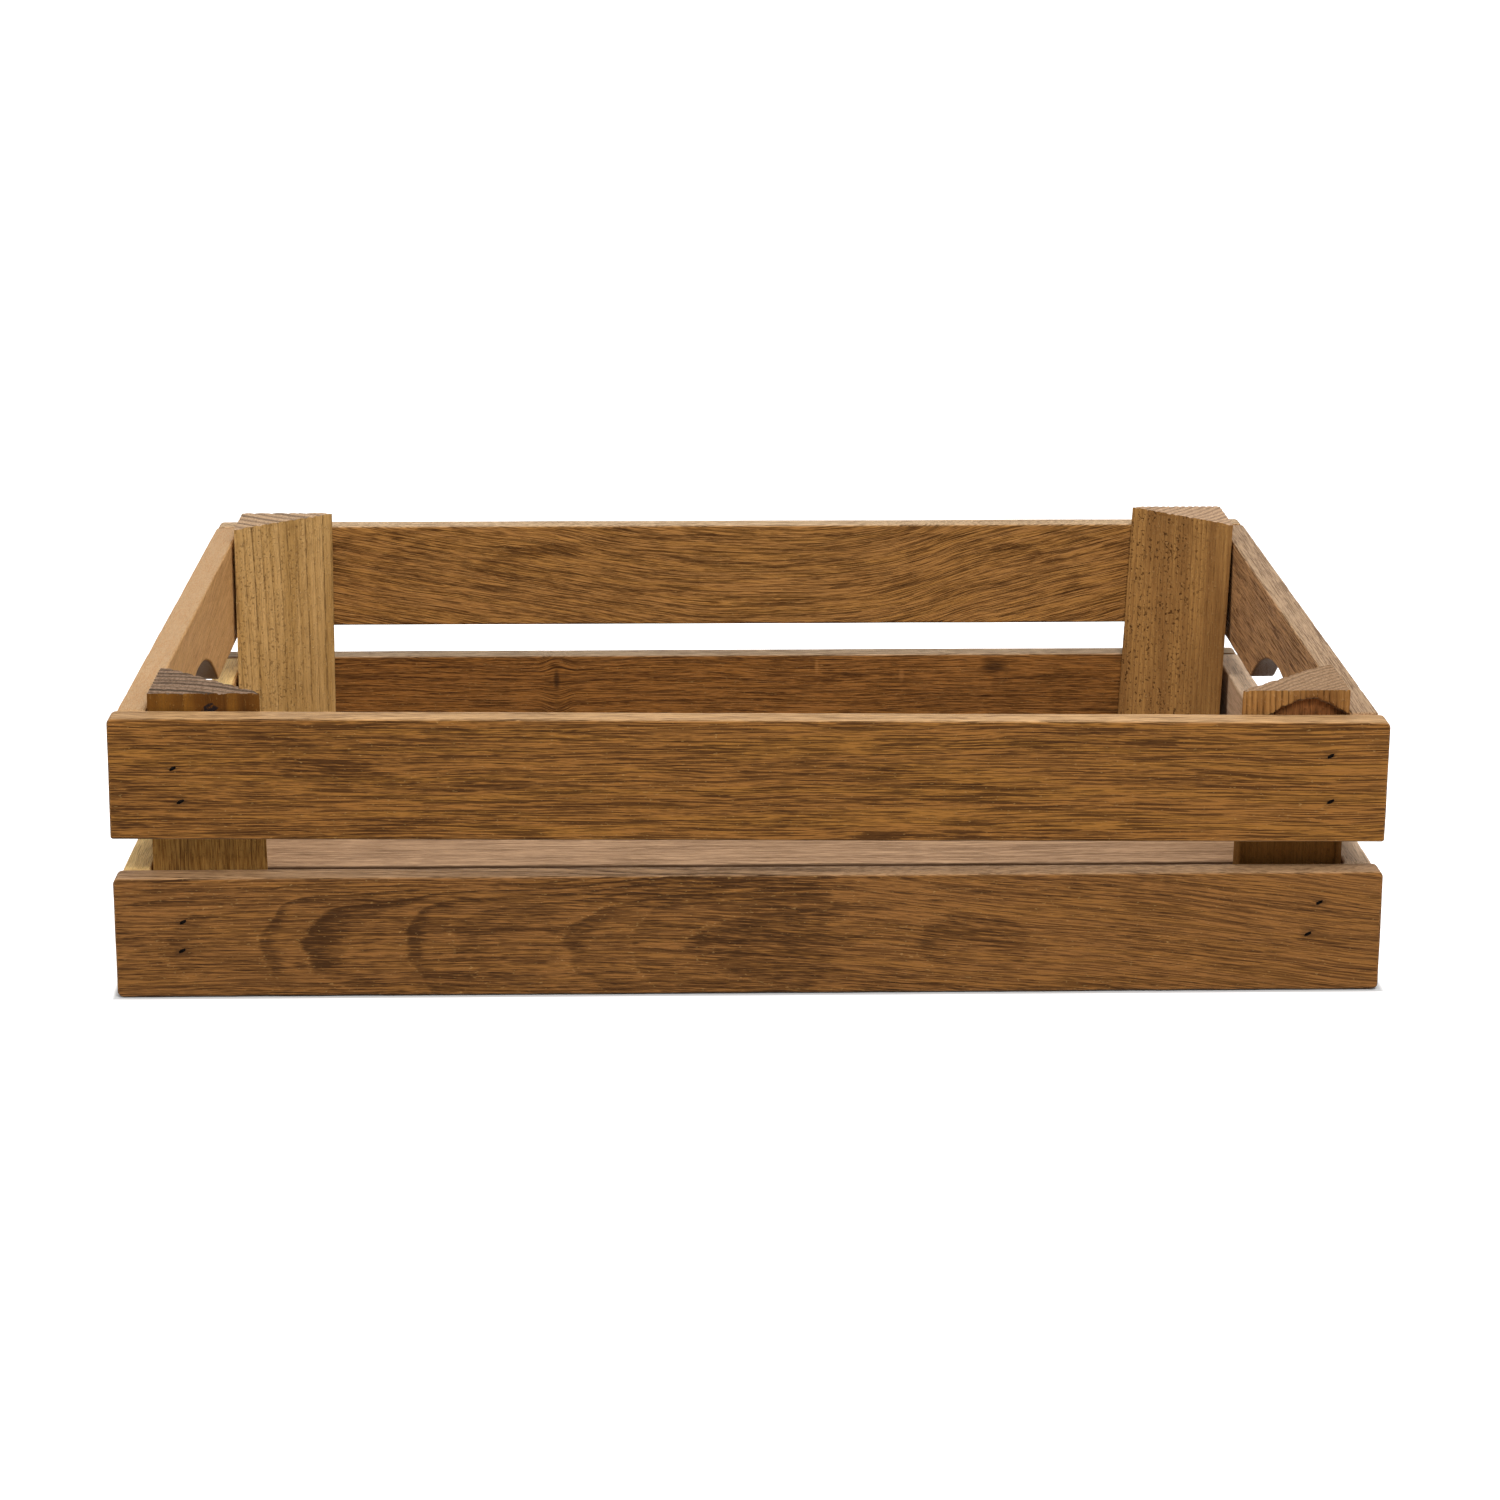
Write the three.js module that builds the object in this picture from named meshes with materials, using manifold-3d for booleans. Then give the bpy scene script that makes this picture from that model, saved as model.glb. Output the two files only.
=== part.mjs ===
// Open slatted oak crate: two courses of slats nailed round four triangular corner posts,
// over a slatted floor, with a hand hold sawn into each end.
// Millimetres. X runs along the long slats, Y from front to back, Z up; the origin is under the middle.
import * as THREE from "three";
import { mergeVertices } from "three/addons/utils/BufferGeometryUtils.js";
import Module from "manifold-3d";

const wasm = await Module();
wasm.setup();

// Outside of the crate, over the slats.
const CRATE_LENGTH = 400;
const CRATE_DEPTH = 300;

// Slat stock: walls and floor are cut from planed board of one width; the end slats are a little thinner.
const SLAT_WIDTH = 39.2;
const SLAT_THICKNESS = 10;
const END_THICKNESS = 9;
// Rounding sanded along the arrises, and the corner left on the flat face inside it.
const SLAT_EDGE_ROUND = 0.8;
const SLAT_FACE_CORNER = 1.2;

// Walls: a lower and an upper course with an open gap between them.
const WALL_GAP = 12.4;
// The front slats run this far past the end slats at each side; the back slats finish flush with them.
const FRONT_OVERHANG = 1.8;
// The front upper slat is nailed a little low and out of level, its right end lower,
// and the right upper slat follows it down at its front end.
const FRONT_UPPER_DROP = 1.2;
const FRONT_UPPER_SKEW_DEG = 0.45;
const RIGHT_UPPER_DROP = 1.2;
const RIGHT_UPPER_SKEW_DEG = 0.5;

// Hand hold: a circular arc sawn out of the lower edge of each upper end slat.
const HAND_HOLD_WIDTH = 110;
const HAND_HOLD_HEIGHT = 18;

// Corner posts: a square batten ripped along its diagonal, with a blunt flat on each thin edge.
const POST_LEG = 34.5;
const POST_TIP_FLAT = 1.2;
// They are ripped and nailed by hand and run out of true; the back right one leans most. Each run says
// where a post starts and ends along its long wall, from its seat at the end slat, at the top and foot.
const FRONT_LEFT_RUN = { top: [0.6, 35.6], foot: [0.3, 36.9] };
const FRONT_RIGHT_RUN = { top: [0, 33.9], foot: [0.8, 36] };
const BACK_RIGHT_RUN = { top: [0, 33.8], foot: [3, 37.5] };
const BACK_LEFT_RUN = { top: [0.7, 35.2], foot: [0.9, 34.5] };
// How far each post stands above the wall; they are sawn to length by hand and differ.
const POST_RISE_FRONT_LEFT = 5.7;
const POST_RISE_FRONT_RIGHT = 5.1;
const POST_RISE_BACK_RIGHT = 7.1;
const POST_RISE_BACK_LEFT = 5.6;

// Floor: as many slats as fit with at least this gap, spread evenly.
const FLOOR_GAP_LEAST = 8;

// Brads: flat T-headed wire nails, their heads set below the face and turned a little.
const BRAD_LENGTH = 25;
const BRAD_WIDTH = 1.25;
const BRAD_THICKNESS = 1;
const BRAD_HEAD_WIDTH = 2;
const BRAD_HEAD_HEIGHT = 0.8;
const BRAD_POINT_LENGTH = 2;
const BRAD_POINT_WIDTH = 0.4;
const BRAD_SET_DEPTH = 1;
const BRAD_TURN_DEG = 25;

// Clearances: round a brad in its hole, and between boards that bear on each other.
const BRAD_CLEARANCE = 0.3;
const SEAM = 0.3;

// Where the brads sit at the left and right end of a slat, seen from outside:
// distance in from the outer side of the post, then height above the slat's middle line.
// The end slats' brads are driven at other heights, so that they pass the long slats' brads in the post.
const LONG_UPPER_BRADS = { left: [[9.1, 3.5], [11.2, -7.2]], right: [[7.4, 8.5], [6.7, -6.3]] };
const LONG_LOWER_BRADS = { left: [[10.4, 5.2], [9.8, -4.3]], right: [[8.9, 9.5], [12.1, -0.9]] };
const END_UPPER_BRADS = { left: [[9, 12], [9, -12]], right: [[9, 12], [9, -12]] };
const END_LOWER_BRADS = { left: [[9, 14.5], [9, 2.5]], right: [[9, 14.5], [9, 2.5]] };

// Lines that several pieces share.
const lowerMiddle = SLAT_WIDTH / 2;
const upperMiddle = SLAT_WIDTH + WALL_GAP + SLAT_WIDTH / 2;
const wallTop = 2 * SLAT_WIDTH + WALL_GAP;
const longReach = CRATE_DEPTH / 2;
const endReach = CRATE_LENGTH / 2 - FRONT_OVERHANG;
const postX = endReach - END_THICKNESS - SEAM;
const postY = longReach - SLAT_THICKNESS - SEAM;
const postFoot = SLAT_THICKNESS + SEAM;

function solidFrom(geometry) {
  const bare = geometry.clone();
  bare.deleteAttribute("normal");
  bare.deleteAttribute("uv");
  const merged = mergeVertices(bare, 1e-4);
  const mesh = new wasm.Mesh({
    numProp: 3,
    vertProperties: new Float32Array(merged.attributes.position.array),
    triVerts: new Uint32Array(merged.index.array),
  });
  mesh.merge();
  return new wasm.Manifold(mesh);
}

function geometryFrom(solid) {
  const mesh = solid.getMesh();
  const geometry = new THREE.BufferGeometry();
  geometry.setAttribute("position", new THREE.BufferAttribute(mesh.vertProperties, 3));
  geometry.setIndex(new THREE.BufferAttribute(mesh.triVerts, 1));
  geometry.computeVertexNormals();
  return geometry;
}

function timber(red, green, blue) {
  const color = new THREE.Color().setRGB(red / 255, green / 255, blue / 255, THREE.SRGBColorSpace);
  return new THREE.MeshStandardMaterial({ color, roughness: 0.75, metalness: 0 });
}

// A slat lies in the wall plane: length along X, width along Z, outer face on y = 0, inner face at +y.
function slatGeometry(length, thickness) {
  const x = length / 2;
  const z = SLAT_WIDTH / 2;
  const round = SLAT_EDGE_ROUND + SLAT_FACE_CORNER;
  const outline = new THREE.Shape();
  outline.moveTo(-x + round, -z);
  outline.lineTo(x - round, -z);
  outline.absarc(x - round, -z + round, round, -Math.PI / 2, 0);
  outline.lineTo(x, z - round);
  outline.absarc(x - round, z - round, round, 0, Math.PI / 2);
  outline.lineTo(-x + round, z);
  outline.absarc(-x + round, z - round, round, Math.PI / 2, Math.PI);
  outline.lineTo(-x, -z + round);
  outline.absarc(-x + round, -z + round, round, Math.PI, Math.PI * 1.5);
  const geometry = new THREE.ExtrudeGeometry(outline, {
    depth: thickness - 2 * SLAT_EDGE_ROUND,
    bevelEnabled: true,
    bevelThickness: SLAT_EDGE_ROUND,
    bevelSize: SLAT_EDGE_ROUND,
    bevelOffset: -SLAT_EDGE_ROUND,
    bevelSegments: 3,
    curveSegments: 2,
  });
  geometry.translate(0, 0, SLAT_EDGE_ROUND - thickness);
  geometry.rotateX(Math.PI / 2);
  return geometry;
}

// The saw cut of the hand hold is a cylinder through the slat that meets the lower edge at both ends
// of the grip.
function handHoldCut() {
  const half = HAND_HOLD_WIDTH / 2;
  const radius = (half * half + HAND_HOLD_HEIGHT * HAND_HOLD_HEIGHT) / (2 * HAND_HOLD_HEIGHT);
  const cut = new THREE.CylinderGeometry(radius, radius, 3 * END_THICKNESS, 120);
  cut.translate(0, END_THICKNESS / 2, -SLAT_WIDTH / 2 + HAND_HOLD_HEIGHT - radius);
  return cut;
}

// A post stands on its foot with the right angle in the corner of the walls and the sawn face inward.
// Its run lies along the long wall, which is X or Y before the post is turned to its corner.
function postGeometry(height, run, longAxis) {
  const outline = new THREE.Shape();
  outline.moveTo(0, 0);
  outline.lineTo(POST_LEG, 0);
  outline.lineTo(POST_LEG, POST_TIP_FLAT);
  outline.lineTo(POST_TIP_FLAT, POST_LEG);
  outline.lineTo(0, POST_LEG);
  outline.closePath();
  const geometry = new THREE.ExtrudeGeometry(outline, { depth: height, bevelEnabled: false });
  const corners = geometry.attributes.position;
  for (let index = 0; index < corners.count; index += 1) {
    const [start, end] = corners.getZ(index) < height / 2 ? run.foot : run.top;
    const share = corners.getComponent(index, longAxis) / POST_LEG;
    corners.setComponent(index, longAxis, start + (end - start) * share);
  }
  return geometry;
}

// A brad points along +Y with its head at y = 0. For the hole the outline grows by the clearance,
// and the head's slot runs on out through the face.
function bradGeometry(clearance, slot) {
  const head = BRAD_HEAD_WIDTH / 2 + clearance;
  const shank = BRAD_WIDTH / 2 + clearance;
  const point = BRAD_POINT_WIDTH / 2 + clearance;
  const neck = BRAD_HEAD_HEIGHT + clearance;
  const taper = BRAD_LENGTH - BRAD_POINT_LENGTH;
  const tip = BRAD_LENGTH + clearance;
  const thickness = BRAD_THICKNESS + 2 * clearance;
  const outline = new THREE.Shape();
  outline.moveTo(-head, -slot);
  outline.lineTo(head, -slot);
  outline.lineTo(head, neck);
  outline.lineTo(shank, neck);
  outline.lineTo(shank, taper);
  outline.lineTo(point, tip);
  outline.lineTo(-point, tip);
  outline.lineTo(-shank, taper);
  outline.lineTo(-shank, neck);
  outline.lineTo(-head, neck);
  outline.closePath();
  const geometry = new THREE.ExtrudeGeometry(outline, { depth: thickness, bevelEnabled: false });
  geometry.translate(0, 0, -thickness / 2);
  return geometry;
}

const crate = new THREE.Group();
const boards = [];
const brads = [];
const bradShape = bradGeometry(0, 0);
const bradHole = bradGeometry(BRAD_CLEARANCE, 2 * BRAD_SET_DEPTH);
bradHole.computeBoundingBox();

function addBoard(parent, name, geometry, material) {
  const board = new THREE.Mesh(geometry, material);
  board.name = name;
  parent.add(board);
  boards.push(board);
  return board;
}

// A brad is driven square to the face of a course, at x along it and z from its middle line.
function driveBrad(brad, course, x, z) {
  brad.position.set(x, BRAD_SET_DEPTH, z);
  brad.rotation.y = THREE.MathUtils.degToRad(-BRAD_TURN_DEG);
  course.add(brad);
  brads.push(brad);
}

// One course of one wall: its slat, and two brads into the post at each end.
function addCourse(wall, name, geometry, reach, middle, postSide, nailing, material) {
  const course = new THREE.Group();
  course.position.set(0, -reach, middle);
  wall.add(course);
  addBoard(course, `${name}_slat`, geometry, material);
  for (const [side, hand] of [["left", -1], ["right", 1]]) {
    nailing[side].forEach(([inset, height], index) => {
      const steel = new THREE.MeshStandardMaterial({ color: 0x4a4540, roughness: 0.5, metalness: 0.9 });
      const brad = new THREE.Mesh(bradShape, steel);
      brad.name = `${name}_brad_${side}_${index + 1}`;
      driveBrad(brad, course, hand * (postSide - inset), height);
    });
  }
  return course;
}

// Each wall is built as if it were the front one and turned to its own side.
function addWall(turn) {
  const wall = new THREE.Group();
  wall.rotation.z = turn;
  crate.add(wall);
  return wall;
}

const front = addWall(0);
const right = addWall(Math.PI / 2);
const back = addWall(Math.PI);
const left = addWall(-Math.PI / 2);

// Long slats cover the ends of the end slats, in front and behind.
const frontSlat = slatGeometry(CRATE_LENGTH, SLAT_THICKNESS);
const backSlat = slatGeometry(2 * endReach, SLAT_THICKNESS);
addCourse(
  front, "front_lower", frontSlat, longReach, lowerMiddle, postX, LONG_LOWER_BRADS, timber(116, 77, 45));
const frontUpper = addCourse(
  front, "front_upper", frontSlat, longReach, upperMiddle, postX, LONG_UPPER_BRADS, timber(126, 84, 45));
frontUpper.position.z -= FRONT_UPPER_DROP;
frontUpper.rotation.y = THREE.MathUtils.degToRad(FRONT_UPPER_SKEW_DEG);
addCourse(
  back, "back_lower", backSlat, longReach, lowerMiddle, postX, LONG_LOWER_BRADS, timber(108, 69, 34));
addCourse(
  back, "back_upper", backSlat, longReach, upperMiddle, postX, LONG_UPPER_BRADS, timber(128, 86, 47));

// End slats fit between the long ones; the upper one on each side has the hand hold.
const endSlat = slatGeometry(2 * postY, END_THICKNESS);
const gripSlat = geometryFrom(solidFrom(endSlat).subtract(solidFrom(handHoldCut())));
const leftLower = addCourse(
  left, "left_lower", endSlat, endReach, lowerMiddle, postY, END_LOWER_BRADS, timber(170, 130, 80));
addCourse(left, "left_upper", gripSlat, endReach, upperMiddle, postY, END_UPPER_BRADS, timber(165, 122, 77));
const rightLower = addCourse(
  right, "right_lower", endSlat, endReach, lowerMiddle, postY, END_LOWER_BRADS, timber(140, 108, 80));
const rightUpper = addCourse(
  right, "right_upper", gripSlat, endReach, upperMiddle, postY, END_UPPER_BRADS, timber(129, 93, 60));
rightUpper.position.z -= RIGHT_UPPER_DROP;
rightUpper.rotation.y = THREE.MathUtils.degToRad(-RIGHT_UPPER_SKEW_DEG);

// Corner posts, each turned so that its legs lie along the two walls that it ties together.
function addPost(name, x, y, turn, rise, run, material) {
  const longAxis = x * y > 0 ? 0 : 1;
  const shape = postGeometry(wallTop + rise - postFoot, run, longAxis);
  const post = addBoard(crate, `${name}_post`, shape, material);
  post.position.set(x, y, postFoot);
  post.rotation.z = turn;
}
addPost(
  "front_left", -postX, -postY, 0, POST_RISE_FRONT_LEFT, FRONT_LEFT_RUN, timber(105, 68, 30));
addPost(
  "front_right", postX, -postY, Math.PI / 2, POST_RISE_FRONT_RIGHT, FRONT_RIGHT_RUN, timber(131, 91, 51));
addPost(
  "back_right", postX, postY, Math.PI, POST_RISE_BACK_RIGHT, BACK_RIGHT_RUN, timber(129, 89, 48));
addPost(
  "back_left", -postX, postY, -Math.PI / 2, POST_RISE_BACK_LEFT, BACK_LEFT_RUN, timber(162, 121, 73));

// Floor slats lie between the end slats, flush with the underside of the walls, and the posts stand on
// the outer two. A brad through each lower end slat holds them, made in one with the slat that it holds.
const floorCount = Math.floor((2 * postY + FLOOR_GAP_LEAST) / (SLAT_WIDTH + FLOOR_GAP_LEAST));
const floorPitch = (2 * postY - SLAT_WIDTH) / (floorCount - 1);
for (let index = 0; index < floorCount; index += 1) {
  const y = (index - (floorCount - 1) / 2) * floorPitch;
  const flat = slatGeometry(2 * postX, SLAT_THICKNESS).rotateX(Math.PI / 2);
  const slat = addBoard(crate, `floor_slat_${index + 1}`, flat, timber(166, 131, 100));
  slat.position.set(0, y, 0);
  for (const [course, x] of [[leftLower, -y], [rightLower, y]]) {
    const brad = new THREE.Object3D();
    brad.userData.holds = slat;
    driveBrad(brad, course, x, SLAT_THICKNESS / 2 - lowerMiddle);
  }
}

// Every board that a brad passes through is drilled for it where they meet.
crate.updateMatrixWorld(true);
for (const board of boards) {
  const toBoard = board.matrixWorld.clone().invert();
  const extent = new THREE.Box3().setFromObject(board);
  let solid = solidFrom(board.geometry);
  for (const brad of brads) {
    const place = toBoard.clone().multiply(brad.matrixWorld);
    if (brad.userData.holds === board) {
      solid = solid.add(solidFrom(bradShape.clone().applyMatrix4(place)));
    } else if (extent.intersectsBox(bradHole.boundingBox.clone().applyMatrix4(brad.matrixWorld))) {
      solid = solid.subtract(solidFrom(bradHole.clone().applyMatrix4(place)));
    }
  }
  board.geometry = geometryFrom(solid);
}

export default crate;
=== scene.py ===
import math

import bpy
from mathutils import Matrix, Vector, noise


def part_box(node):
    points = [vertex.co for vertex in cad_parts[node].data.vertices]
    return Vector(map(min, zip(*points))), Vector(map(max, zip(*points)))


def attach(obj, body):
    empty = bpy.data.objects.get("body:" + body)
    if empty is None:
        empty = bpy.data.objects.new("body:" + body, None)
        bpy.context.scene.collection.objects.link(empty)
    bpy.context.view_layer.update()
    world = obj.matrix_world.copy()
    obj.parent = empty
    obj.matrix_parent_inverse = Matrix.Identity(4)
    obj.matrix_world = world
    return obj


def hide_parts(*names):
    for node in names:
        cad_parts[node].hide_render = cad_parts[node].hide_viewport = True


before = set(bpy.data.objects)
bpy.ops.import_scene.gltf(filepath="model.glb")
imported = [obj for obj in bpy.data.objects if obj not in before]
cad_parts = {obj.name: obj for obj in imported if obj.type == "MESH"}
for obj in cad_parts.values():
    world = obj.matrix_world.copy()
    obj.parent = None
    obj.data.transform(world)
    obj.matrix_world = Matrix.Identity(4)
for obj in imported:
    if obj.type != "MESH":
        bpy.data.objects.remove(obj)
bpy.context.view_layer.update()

# The frame is in metres, and boards are drawn in millimetres.
TO_MM = 1000.0
TO_M = 0.001


# Corner posts: oak battens ripped along the diagonal and left rough from the saw, so that the growth
# rings stand up as ridges on every face and on the sawn tops. They stand on the floor slats with the
# right angle in the corner of the walls, and every wall slat is nailed to them.
POST_LEG = 34.5
BLUNT_TIP = 1.2


def put(tree, kind, wires=(), **settings):
    made = tree.nodes.new("ShaderNode" + kind)
    for key, value in settings.items():
        setattr(made, key, value)
    for key, value in dict(wires).items():
        if isinstance(value, bpy.types.NodeSocket):
            tree.links.new(value, made.inputs[key])
        else:
            made.inputs[key].default_value = value
    return made


def calc(tree, operation, first, second=0.0):
    return put(tree, "Math", {0: first, 1: second}, operation=operation).outputs[0]


def times(tree, *values):
    product = values[0]
    for value in values[1:]:
        product = calc(tree, "MULTIPLY", product, value)
    return product


def ease(tree, value, low, high):
    return put(tree, "MapRange", {0: value, 1: low, 2: high}, interpolation_type="SMOOTHSTEP").outputs[0]


def tint(tree, amount, under, over):
    return put(tree, "Mix", {0: amount, 6: under, 7: over}, data_type="RGBA").outputs[2]


# Noise whose clumps have the given size in millimetres along and across the grain.
def clumps(tree, place, along, across, detail=0.0, rough=0.5):
    shrink = (1 / along, 1 / across, 1 / across)
    near = put(tree, "VectorMath", {0: place, 1: shrink}, operation="MULTIPLY")
    wires = {"Vector": near.outputs[0], "Scale": 1.0, "Detail": detail, "Roughness": rough}
    return put(tree, "TexNoise", wires).outputs[0]


# A value from 0 to 1 that stays the same all through one year's ring, given the ring's number.
def chance(tree, number):
    return put(tree, "TexWhiteNoise", {"W": number}, noise_dimensions="1D").outputs[0]


# A colour as it is read from a screen, from 0 to 255.
def tone(red, green, blue):
    linear = [((v / 255 + 0.055) / 1.055) ** 2.4 if v > 10 else v / 3295 for v in (red, green, blue)]
    return (*linear, 1.0)


# The place on a board in millimetres, x along the grain, moved by the seed so that no two boards match.
def place_in_board(tree, seed):
    local = put(tree, "TexCoord").outputs["Object"]
    place = put(tree, "VectorMath", {0: local, "Scale": TO_MM}, operation="SCALE").outputs[0]
    away = (113.0 * seed, 47.0 * seed, 71.0 * seed)
    lie = put(tree, "VectorMath", {0: place, 1: away}, operation="ADD")
    return place, lie.outputs[0]


# How far a face looks along the grain: 1 on a sawn end, 0 on the long faces.
def end_grain(tree):
    facing = put(tree, "VectorTransform", {0: put(tree, "NewGeometry").outputs["Normal"]},
                 vector_type="NORMAL", convert_from="WORLD", convert_to="OBJECT")
    along = put(tree, "SeparateXYZ", {0: facing.outputs[0]}).outputs[0]
    return ease(tree, calc(tree, "ABSOLUTE", along), 0.55, 0.9)


def finish_wood(material, color, roughness, height, bump):
    relief_depth = 0.0004
    tree = material.node_tree
    shader = tree.nodes["Principled BSDF"]
    relief = put(tree, "Bump", {"Strength": bump, "Distance": relief_depth, "Height": height})
    tree.links.new(color, shader.inputs["Base Color"])
    tree.links.new(roughness, shader.inputs["Roughness"])
    tree.links.new(relief.outputs[0], shader.inputs["Normal"])
    shader.inputs["Specular IOR Level"].default_value = 0.1


# Rough oak: a dark dotted line of open vessels in the groove of every ring, small flecks, pale fuzz, and
# darker ridged end grain. Painted light brightens the front face low down, in the shade between the slats,
# and a knot is a dark star on it.
def rough_sawn(name, seed, pale, deep, sawn, lines, flecks, ends, painted_light_tone, knot):
    material = bpy.data.materials.new(name)
    material.use_nodes = True
    tree = material.node_tree
    brown_fibre, open_vessel, brown_fleck = tone(98, 64, 26), tone(66, 40, 15), tone(78, 48, 18)
    bare_red, bare_brown, bare_gold = tone(150, 92, 50), tone(96, 56, 26), tone(116, 76, 27)
    place, lie = place_in_board(tree, seed)
    up, a, b = put(tree, "SeparateXYZ", {0: place}).outputs
    fibre = clumps(tree, lie, 9, 0.4, 2, 0.6)
    ring = put(tree, "Attribute", attribute_name="ring").outputs["Fac"]
    ring = calc(tree, "ADD", ring, times(tree, calc(tree, "SUBTRACT", fibre, 0.5), 0.1))
    phase = calc(tree, "FRACT", ring)
    strong = chance(tree, calc(tree, "FLOOR", ring))
    groove = times(tree, ease(tree, phase, 0.76, 0.9), ease(tree, phase, 1.0, 0.95))
    dotted = ease(tree, clumps(tree, lie, 5, 0.9, 2), 0.36, 0.6)
    line = times(tree, groove, calc(tree, "ADD", times(tree, strong, 0.55), 0.45), dotted, lines)
    chain = times(tree, ease(tree, clumps(tree, lie, 22, 1.2, 1), 0.38, 0.54), ease(tree, b, 33, 18))
    fleck = times(tree, ease(tree, clumps(tree, lie, 1.2, 1.2, 1), 0.56, 0.68), chain, flecks)
    marks = calc(tree, "MAXIMUM", line, fleck)
    fuzz = ease(tree, clumps(tree, lie, 1.5, 0.6, 2), 0.58, 0.72)
    drift = ease(tree, clumps(tree, lie, 90, 7, 2), 0.36, 0.64)
    color = tint(tree, drift, tone(*pale), tone(*deep))
    color = tint(tree, times(tree, ease(tree, phase, 0.2, 0.85), 0.5), color, tone(*deep))
    color = tint(tree, times(tree, ease(tree, fibre, 0.4, 0.72), 0.42), color, brown_fibre)
    color = tint(tree, line, color, open_vessel)
    color = tint(tree, fleck, color, brown_fleck)
    color = tint(tree, times(tree, fuzz, 0.3), color, tone(*(v + 34 for v in pale)))
    torn = put(tree, "Attribute", attribute_name="torn").outputs["Fac"]
    bare = tint(tree, ease(tree, fibre, 0.35, 0.7), bare_red, bare_brown)
    bare = tint(tree, times(tree, ease(tree, up, 62, 44), 0.8), bare, bare_gold)
    color = tint(tree, times(tree, torn, 0.85), color, bare)
    # Painted light: a brighter tone on the front face low down, which stands in shade between the slats.
    if painted_light_tone:
        low_front = times(tree, ease(tree, up, 62, 46), ease(tree, b, 2.0, 1.0))
        painted_light_mask = times(tree, low_front, ease(tree, fibre, 0.75, 0.3), 0.8)
        color = tint(tree, painted_light_mask, color, tone(*painted_light_tone))
    if knot:
        half_wide, half_tall, knot_black = 2.1, 1.5, tone(34, 24, 22)
        across = times(tree, calc(tree, "SUBTRACT", a, knot[1]), 1 / half_wide)
        rise = times(tree, calc(tree, "SUBTRACT", up, knot[0]), 1 / half_tall)
        far = calc(tree, "SQRT", calc(tree, "ADD", times(tree, across, across), times(tree, rise, rise)))
        ragged = calc(tree, "SUBTRACT", clumps(tree, lie, 1.0, 1.0, 2), 0.5)
        far = calc(tree, "ADD", far, times(tree, ragged, 3.2))
        star = times(tree, ease(tree, far, 1.4, 0.8), ease(tree, b, 2.0, 1.2))
        color = tint(tree, star, color, knot_black)

    # A sawn end has dark bands that follow the rings, some stronger than others.
    wide_ring = times(tree, ring, 0.7)
    ridge = calc(tree, "FRACT", wide_ring)
    band = times(tree, ease(tree, ridge, 0.3, 0.7), ease(tree, ridge, 1.0, 0.85))
    year = chance(tree, calc(tree, "FLOOR", wide_ring))
    band = times(tree, band, calc(tree, "ADD", times(tree, year, 0.35), 0.65))
    frayed = ease(tree, clumps(tree, lie, 2.0, 0.7, 2), 0.4, 0.62)
    lighter = tone(*(v + 26 for v in sawn))
    darker = tone(*(v - 30 for v in sawn))
    darkest = tone(*(v * 0.4 for v in sawn))
    end_color = tint(tree, times(tree, frayed, 0.5), lighter, darker)
    end_color = tint(tree, times(tree, band, min(0.9, 2.1 * ends)), end_color, darkest)
    color = tint(tree, end_grain(tree), color, end_color)
    rough = calc(tree, "SUBTRACT", 0.85, times(tree, marks, 0.1))
    high = calc(tree, "SUBTRACT", calc(tree, "ADD", fuzz, fibre), marks)
    finish_wood(material, color, rough, high, 0.7)
    return material


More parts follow.
